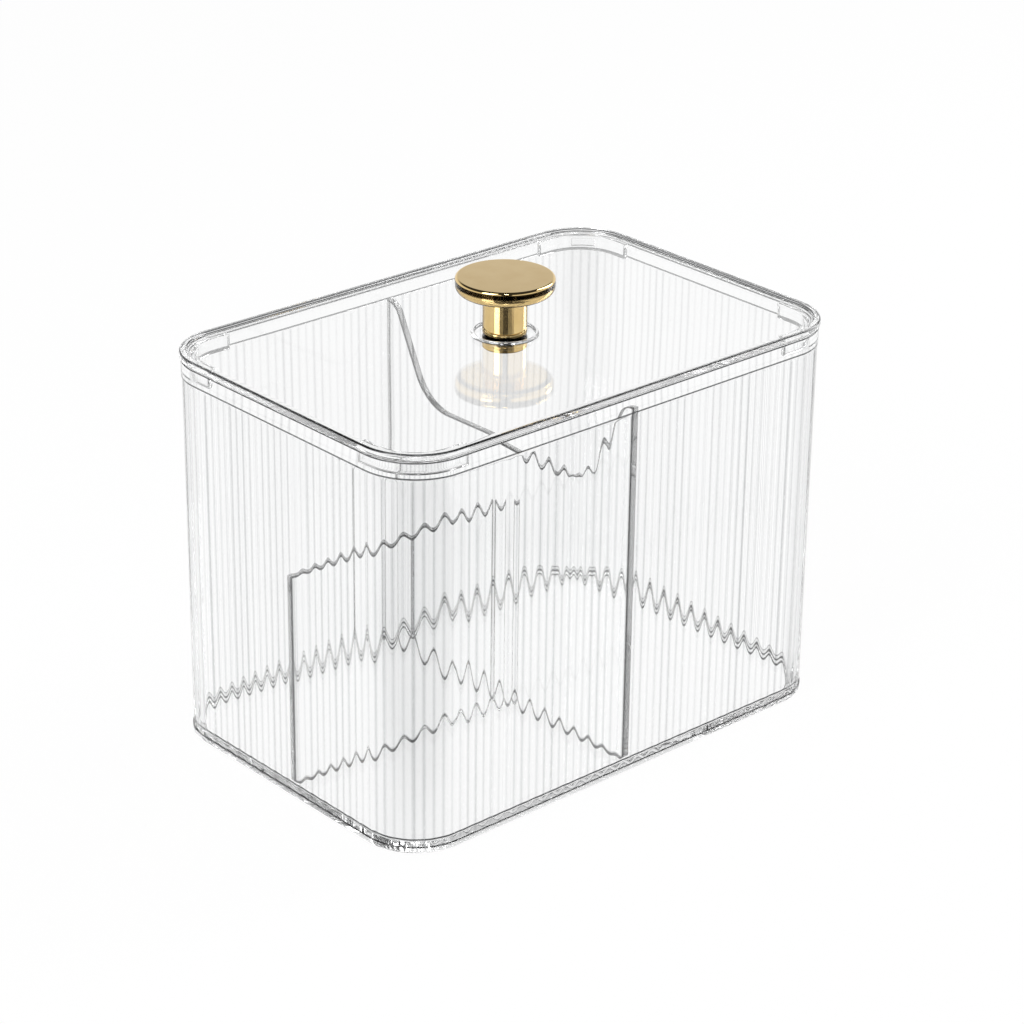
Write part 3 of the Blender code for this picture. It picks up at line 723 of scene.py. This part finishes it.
def make_lid():
    low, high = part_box("lid")
    top = low.z + LUG_HEIGHT + LID_PLATE
    bottom = low.z + LUG_HEIGHT
    panel = top - LID_RECESS
    outline = stations(high.x - low.x, high.y - low.y, LID_CORNER, LID_COUNT)

    def outline_at(inset, height):
        return lambda station: outline[station][0] - outline[station][1] * inset + Vector((0, 0, height))

    def circle_at(radius, height):
        def place(station):
            angle = 2 * math.pi * station / LID_COUNT
            return Vector((radius * math.cos(angle), radius * math.sin(angle), height))
        return place

    rise = LID_EDGE_ROUND
    edge_top = quarter_round(LID_EDGE_ROUND, top - rise, LID_EDGE_ROUND, 0, 90, EDGE_STEPS)
    edge_low = quarter_round(LID_EDGE_ROUND, bottom + rise, LID_EDGE_ROUND, -90, 0, EDGE_STEPS)
    places = [(circle_at(BORE_RADIUS, bottom), 0.0)]
    places.append((outline_at(LUG_INSET + LUG_THICKNESS, bottom), 0.0))
    places.append((outline_at(LUG_INSET, bottom), 0.0))
    # Each ring carries the painted edge shade of the faces below it.
    for points in (edge_low, edge_top):
        for step, point in enumerate(points):
            places.append((outline_at(*point), 1.0 if step in LID_SHADE_STEPS else 0.0))
    crest = LID_RIM - LID_RIM_SLOPE
    places.append((outline_at(crest, top), 0.0))
    places.append((outline_at(crest + RIM_LINE, top - RIM_LINE), 1.0))
    places.append((outline_at(LID_RIM, top - LID_RIM_SLOPE), RIM_FOOT_PAINTED_SHADE))
    places.append((outline_at(LID_RIM + LID_RIM_SLOPE, panel), RIM_FOOT_PAINTED_SHADE))
    for step in range(COLLAR_STEPS + 1):
        angle = math.pi * step / COLLAR_STEPS
        radius = COLLAR_RADIUS + COLLAR_BEAD / 2 * math.cos(angle)
        dark = 1.0 if step in (1, COLLAR_STEPS) else 0.0
        places.append((circle_at(radius, panel + COLLAR_HEIGHT * math.sin(angle)), dark))
    places.append((circle_at(BORE_RADIUS, panel), 0.0))

    bm = bmesh.new()
    edge_shade_layer = bm.faces.layers.float.new("edge")
    ring = place_ring(bm, first_ring(bm, LID_COUNT), places[0][0])
    start = ring
    lug_strip = []
    for index, (place, dark) in enumerate(places[1:]):
        known = set(bm.faces)
        ring = next_ring(bm, ring, place)
        mark_ring(ring, edge_shade_layer, dark)
        if index == 1:
            lug_strip = [face for face in bm.faces if face not in known]
    bmesh.ops.bridge_loops(bm, edges=start + ring)

    keep_x = high.x - LID_OVERHANG - BOX_CORNER - LUG_RUN
    keep_y = high.y - LID_OVERHANG - BOX_CORNER - LUG_RUN
    roots = []
    for face in lug_strip:
        centre = face.calc_center_median()
        if abs(centre.x) > keep_x and abs(centre.y) > keep_y:
            roots.append(face)
    pad_low = bottom - (LUG_HEIGHT + PAD_HEIGHT) / 2
    pad_faces = []
    faces = roots
    for level in (pad_low + PAD_HEIGHT, pad_low, low.z):
        known = set(bm.faces)
        made = bmesh.ops.extrude_face_region(bm, geom=faces)["geom"]
        for vert in made:
            if isinstance(vert, bmesh.types.BMVert):
                vert.co.z = level
        old = [face for face in faces if face.is_valid]
        if old:
            bmesh.ops.delete(bm, geom=old, context="FACES_ONLY")
        faces = [item for item in made if isinstance(item, bmesh.types.BMFace)]
        if level == pad_low:
            pad_faces = [face for face in bm.faces if face not in known and face not in faces]
    strays = [edge for edge in bm.edges if not edge.link_faces]
    bmesh.ops.delete(bm, geom=strays, context="EDGES")

    bmesh.ops.recalc_face_normals(bm, faces=bm.faces)
    lug_edges = []
    for edge in bm.edges:
        hangs = all(vert.co.z < bottom - LUG_ROUND / 2 for vert in edge.verts)
        if hangs and edge.is_manifold and edge.calc_face_angle() > SHARP_TURN:
            lug_edges.append(edge)
    rounds = bmesh.ops.bevel(
        bm, geom=lug_edges, offset=LUG_ROUND, segments=ROUND_STEPS, profile=0.5, affect="EDGES", material=-1
    )
    for face in rounds["faces"]:
        face[edge_shade_layer] = LUG_PAINTED_SHADE
    pad_faces = [face for face in pad_faces if face.is_valid]
    corner_x = high.x - LID_CORNER
    corner_y = high.y - LID_CORNER
    outer_radius = LID_CORNER - LUG_INSET
    groups = {}
    for face in pad_faces:
        centre = face.calc_center_median()
        from_corner = Vector((abs(centre.x) - corner_x, abs(centre.y) - corner_y))
        if from_corner.length < outer_radius - LUG_THICKNESS / 2:
            continue
        swing = abs(math.atan2(from_corner.y, from_corner.x) - math.pi / 4)
        if swing * outer_radius < PAD_WIDTH / 2:
            groups.setdefault((centre.x > 0, centre.y > 0), []).append(face)
    for group in groups.values():
        made = bmesh.ops.inset_region(
            bm, faces=group, thickness=PAD_SLOPE, depth=PAD_PROUD, use_even_offset=True
        )
        for face in made["faces"]:
            face[edge_shade_layer] = LUG_PAINTED_SHADE
    piece = new_piece("rimmed_lid", bm, clear_plastic("clear_lid_plastic"))
    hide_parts("lid")
    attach(piece, "cover")


make_lid()


# Knob and ferrule
# The knob is turned and plated in polished gold: a shallow disc on a round neck. A matching ring
# faces it under the lid.

# GOLD and GOLD_DARK are the plating's own tones; the near-black is painted into the colour as shade and dark
# reflection.
GOLD = (0.80, 0.60, 0.29, 1.0)
GOLD_DARK = (0.70, 0.49, 0.20, 1.0)
GOLD_PAINTED_SHADE = (0.020, 0.012, 0.004, 1.0)
RING_SCALE = 900.0
RING_WANDER = 0.6
RING_DEPTH = 0.02 * MM
CLOUD_SCALE = 160.0
BEST_POLISH = 0.02
TURN_STEPS = 128
KNOB_DISC = 5.5 * MM
KNOB_TOP_ROUND = 0.9 * MM
# Painted shade and reflection on the knob: a darker top, a black band round the disc's side, and dark rings
# at the turn-in and the foot.
KNOB_TOP_SHADE = 0.25
KNOB_SIDE_TOP = 1.2 * MM
KNOB_SIDE_LOW = 2.2 * MM
SIDE_SHADE_TOP = 0.855 * MM
SIDE_SHADE_LOW = 2.4 * MM
TURN_IN_LOW = 0.1 * MM
TURN_IN_TOP = 1.0 * MM
BORE_DEPTH = 0.3 * MM
METAL_GRAZING_SHADE = 0.5
KNOB_UNDER_ROUND = 2.8 * MM
KNOB_UNDER_SLOPE = 0.4 * MM
NECK_RADIUS = 7.0 * MM
NECK_FILLET = 0.6 * MM
NECK_CHAMFER = 0.4 * MM
FERRULE_ROUND = 0.5 * MM
FERRULE_CHAMFER = 0.2 * MM
FERRULE_SIDE = 0.7 * MM
FERRULE_SHADE_LOW = 0.35 * MM
FERRULE_SHADE_TOP = 0.3 * MM
SCREW_HEAD_POCKET = 3.9 * MM
SCREW_HEAD_TALL = 2.1 * MM


def turned_piece(name, profile, material, closed=False, shaded=(), upright=(0, 0)):
    """Turned from (radius, height) points; shaded lists (low, high, how much) of painted shade, upright the
    levels painted dark where they graze.
    """
    bm = bmesh.new()
    bm.verts.layers.float.new("shade")
    bm.verts.layers.float.new("outline")
    shade = bm.verts.layers.float["shade"]
    outline = bm.verts.layers.float["outline"]
    corners = [bm.verts.new((radius, 0, height)) for radius, height in profile]
    for corner in corners:
        corner[shade] = max([share for low, high, share in shaded if low < corner.co.z < high], default=0.0)
        corner[outline] = float(upright[0] < corner.co.z < upright[1])
    for corner, following in zip(corners, corners[1:]):
        bm.edges.new((corner, following))
    if closed:
        bm.edges.new((corners[-1], corners[0]))
    geometry = bm.verts[:] + bm.edges[:]
    bmesh.ops.spin(
        bm,
        geom=geometry,
        axis=(0, 0, 1),
        cent=(0, 0, 0),
        angle=2 * math.pi,
        steps=TURN_STEPS,
        use_merge=True,
    )
    bmesh.ops.remove_doubles(bm, verts=bm.verts, dist=WELD)
    return new_piece(name, bm, material)


def arc_points(radius, height, size, start, end, steps):
    """Points on an arc about (radius, height), with angles in degrees from outward towards up."""
    points = []
    for step in range(steps + 1):
        angle = math.radians(start + (end - start) * step / steps)
        points.append((radius + size * math.cos(angle), height + size * math.sin(angle)))
    return points


def turning_marks():
    """Node group: the faint rings and tone changes of a turned, plated and polished surface."""
    group = bpy.data.node_groups.new("turning_marks", "ShaderNodeTree")
    face = group.interface
    face.new_socket("Bright", in_out="INPUT", socket_type="NodeSocketColor")
    face.new_socket("Dark", in_out="INPUT", socket_type="NodeSocketColor")
    face.new_socket("Polish", in_out="INPUT", socket_type="NodeSocketFloat")
    face.new_socket("Color", in_out="OUTPUT", socket_type="NodeSocketColor")
    face.new_socket("Roughness", in_out="OUTPUT", socket_type="NodeSocketFloat")
    face.new_socket("Height", in_out="OUTPUT", socket_type="NodeSocketFloat")
    given = group.nodes.new("NodeGroupInput")
    result = group.nodes.new("NodeGroupOutput")
    place = node(group, "ShaderNodeTexCoord")
    rings = node(group, "ShaderNodeTexWave", wave_type="RINGS", rings_direction="Z")
    rings.inputs["Scale"].default_value = RING_SCALE
    rings.inputs["Distortion"].default_value = RING_WANDER
    cloud = node(group, "ShaderNodeTexNoise")
    cloud.inputs["Scale"].default_value = CLOUD_SCALE
    tone = node(group, "ShaderNodeMix", data_type="RGBA")
    rough = node(group, "ShaderNodeMapRange")
    rough.inputs["To Min"].default_value = BEST_POLISH
    links = group.links
    links.new(place.outputs["Object"], rings.inputs["Vector"])
    links.new(place.outputs["Object"], cloud.inputs["Vector"])
    links.new(cloud.outputs[0], tone.inputs[0])
    links.new(given.outputs["Bright"], tone.inputs[6])
    links.new(given.outputs["Dark"], tone.inputs[7])
    links.new(cloud.outputs[0], rough.inputs["Value"])
    links.new(given.outputs["Polish"], rough.inputs["To Max"])
    links.new(tone.outputs[2], result.inputs["Color"])
    links.new(rough.outputs["Result"], result.inputs["Roughness"])
    links.new(rings.outputs["Fac"], result.inputs["Height"])
    return group


metal_marks = turning_marks()


def plated_metal(name, bright, dark, shade, polish, ring_strength):
    """Polished plating: two tones in clouds, and near-black painted shade and reflection where attributes
    mark it or it grazes.
    """
    material = bpy.data.materials.new(name)
    tree = new_nodes(material)
    marks = node(tree, "ShaderNodeGroup")
    marks.node_tree = metal_marks
    marks.inputs["Bright"].default_value = bright
    marks.inputs["Dark"].default_value = dark
    marks.inputs["Polish"].default_value = polish
    bump = node(tree, "ShaderNodeBump")
    bump.inputs["Strength"].default_value = ring_strength
    bump.inputs["Distance"].default_value = RING_DEPTH
    shader = node(tree, "ShaderNodeBsdfPrincipled")
    shader.inputs["Metallic"].default_value = 1.0
    output = node(tree, "ShaderNodeOutputMaterial")
    # Painted shade and reflection: the shade attribute, and the Facing of upright surfaces, mix the colour
    # towards near black.
    band = node(tree, "ShaderNodeAttribute", attribute_name="shade")
    upright = node(tree, "ShaderNodeAttribute", attribute_name="outline")
    facing = node(tree, "ShaderNodeLayerWeight")
    grazing_shade = node(tree, "ShaderNodeMapRange", interpolation_type="SMOOTHSTEP")
    grazing_shade.inputs["From Min"].default_value = METAL_GRAZING_SHADE
    edge = node(tree, "ShaderNodeMath", operation="MULTIPLY")
    painted_dark_amount = node(tree, "ShaderNodeMath", operation="MAXIMUM")
    tone = node(tree, "ShaderNodeMix", data_type="RGBA")
    tone.inputs[7].default_value = shade
    tree.links.new(facing.outputs["Facing"], grazing_shade.inputs["Value"])
    tree.links.new(grazing_shade.outputs[0], edge.inputs[0])
    tree.links.new(upright.outputs["Fac"], edge.inputs[1])
    tree.links.new(band.outputs["Fac"], painted_dark_amount.inputs[0])
    tree.links.new(edge.outputs[0], painted_dark_amount.inputs[1])
    tree.links.new(painted_dark_amount.outputs[0], tone.inputs[0])
    tree.links.new(marks.outputs["Color"], tone.inputs[6])
    tree.links.new(tone.outputs[2], shader.inputs["Base Color"])
    tree.links.new(marks.outputs["Roughness"], shader.inputs["Roughness"])
    tree.links.new(marks.outputs["Height"], bump.inputs["Height"])
    tree.links.new(bump.outputs[0], shader.inputs["Normal"])
    tree.links.new(shader.outputs[0], output.inputs["Surface"])
    return material


def make_knob():
    low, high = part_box("knob")
    under = high.z - KNOB_DISC
    rim = high.x
    profile = [(0, high.z)]
    side_low = under + KNOB_UNDER_ROUND
    profile += arc_points(rim - KNOB_TOP_ROUND, high.z - KNOB_TOP_ROUND, KNOB_TOP_ROUND, 90, 0, 6)
    profile += [(rim, high.z - KNOB_SIDE_TOP), (rim, high.z - KNOB_SIDE_LOW)]
    profile += arc_points(rim - KNOB_UNDER_ROUND, side_low, KNOB_UNDER_ROUND, 0, -90, 14)
    shoulder = under - KNOB_UNDER_SLOPE
    profile += arc_points(NECK_RADIUS + NECK_FILLET, shoulder - NECK_FILLET, NECK_FILLET, 90, 180, 5)
    profile.append((NECK_RADIUS, low.z + NECK_CHAMFER * 3))
    profile.append((NECK_RADIUS, low.z + NECK_CHAMFER))
    profile.append((NECK_RADIUS - NECK_CHAMFER, low.z))
    profile.append((BORE_RADIUS, low.z))
    bore_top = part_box("knob_screw")[1].z + BORE_DEPTH
    profile.append((BORE_RADIUS, bore_top))
    profile.append((0, bore_top))
    gold = plated_metal("gold_knob_plating", GOLD, GOLD_DARK, GOLD_PAINTED_SHADE, polish=0.08, ring_strength=0.05)
    # Painted reflection and shade: darker top, black side band, dark rings at the turn-in under the disc and
    # the neck's foot.
    top = (high.z - WELD, high.z + MM, KNOB_TOP_SHADE)
    side = (high.z - SIDE_SHADE_LOW, high.z - SIDE_SHADE_TOP, 1.0)
    turn_in = (under + TURN_IN_LOW, under + TURN_IN_TOP, 1.0)
    foot = (low.z - MM, low.z + NECK_CHAMFER * 2, 1.0)
    levels = (low.z - MM, high.z - KNOB_TOP_ROUND)
    piece = turned_piece("turned_knob", profile, gold, shaded=(top, side, turn_in, foot), upright=levels)
    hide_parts("knob")
    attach(piece, "cover")


def make_ferrule():
    low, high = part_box("ferrule")
    outer = high.x
    pocket_top = low.z + SCREW_HEAD_TALL
    chamfer = FERRULE_CHAMFER
    profile = [(BORE_RADIUS, high.z), (outer - chamfer, high.z), (outer, high.z - chamfer)]
    profile.append((outer, high.z - FERRULE_SIDE))
    profile += arc_points(outer - FERRULE_ROUND, low.z + FERRULE_ROUND, FERRULE_ROUND, 0, -90, 5)
    profile += [(SCREW_HEAD_POCKET, low.z), (SCREW_HEAD_POCKET, pocket_top), (BORE_RADIUS, pocket_top)]
    gold = plated_metal("gold_ferrule_plating", GOLD, GOLD_DARK, GOLD_PAINTED_SHADE, polish=0.12, ring_strength=0.08)
    # Painted shade: dark rings at the ferrule's foot and its top edge.
    foot = (low.z - MM, low.z + FERRULE_SHADE_LOW, 1.0)
    top = (high.z - FERRULE_SHADE_TOP, high.z + MM, 1.0)
    piece = turned_piece("gold_ferrule", profile, gold, closed=True, shaded=(foot, top))
    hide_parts("ferrule")
    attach(piece, "cover")


make_knob()
make_ferrule()


# Screw
# A plated steel machine screw clamps the ferrule, the lid and the knob together from below.

HEAD_HEIGHT = 1.8 * MM
HEAD_BEVEL = 0.5 * MM
SHANK_RADIUS = 2.0 * MM
SHANK_BEVEL = 0.6 * MM
CROSS_LENGTH = 3.6 * MM
CROSS_WIDTH = 0.9 * MM
CROSS_DEPTH = 1.1 * MM
CROSS_TAPER = 0.7
STEEL = (0.62, 0.62, 0.63, 1.0)
STEEL_DARK = (0.42, 0.42, 0.43, 1.0)


def cut_cross(piece, under):
    """Press a tapering cross recess into the underside of the screw's head."""
    for turn in (0, math.pi / 2):
        bm = bmesh.new()
        bmesh.ops.create_cube(bm, size=1.0)
        bmesh.ops.scale(bm, verts=bm.verts, vec=(CROSS_LENGTH, CROSS_WIDTH, 2 * CROSS_DEPTH))
        upper = [vert for vert in bm.verts if vert.co.z > 0]
        bmesh.ops.scale(bm, verts=upper, vec=(CROSS_TAPER, CROSS_TAPER, 1.0))
        bmesh.ops.rotate(bm, verts=bm.verts, cent=(0, 0, 0), matrix=Matrix.Rotation(turn, 3, "Z"))
        bmesh.ops.translate(bm, verts=bm.verts, vec=(0, 0, under))
        mesh = bpy.data.meshes.new("cross_cutter")
        bm.to_mesh(mesh)
        bm.free()
        cutter = bpy.data.objects.new("cross_cutter", mesh)
        bpy.context.scene.collection.objects.link(cutter)
        cut = piece.modifiers.new("cross", "BOOLEAN")
        cut.operation = "DIFFERENCE"
        cut.solver = "EXACT"
        cut.object = cutter
        bpy.context.view_layer.update()
        finished = piece.evaluated_get(bpy.context.evaluated_depsgraph_get())
        shaped = bpy.data.meshes.new_from_object(finished)
        piece.modifiers.remove(cut)
        piece.data = shaped
        bpy.data.objects.remove(cutter, do_unlink=True)
    piece.data.set_sharp_from_angle(angle=math.radians(SHARP_DEGREES))


def make_screw():
    low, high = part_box("knob_screw")
    head_top = low.z + HEAD_HEIGHT
    head = high.x
    profile = [(0, high.z), (SHANK_RADIUS - SHANK_BEVEL, high.z)]
    profile += [(SHANK_RADIUS, high.z - SHANK_BEVEL), (SHANK_RADIUS, head_top)]
    profile += [(head, head_top), (head, low.z + HEAD_BEVEL), (head - HEAD_BEVEL, low.z), (0, low.z)]
    steel = plated_metal("screw_plating", STEEL, STEEL_DARK, STEEL_DARK, polish=0.3, ring_strength=0.2)
    piece = turned_piece("cross_screw", profile, steel)
    cut_cross(piece, low.z)
    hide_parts("knob_screw")
    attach(piece, "cover")


make_screw()
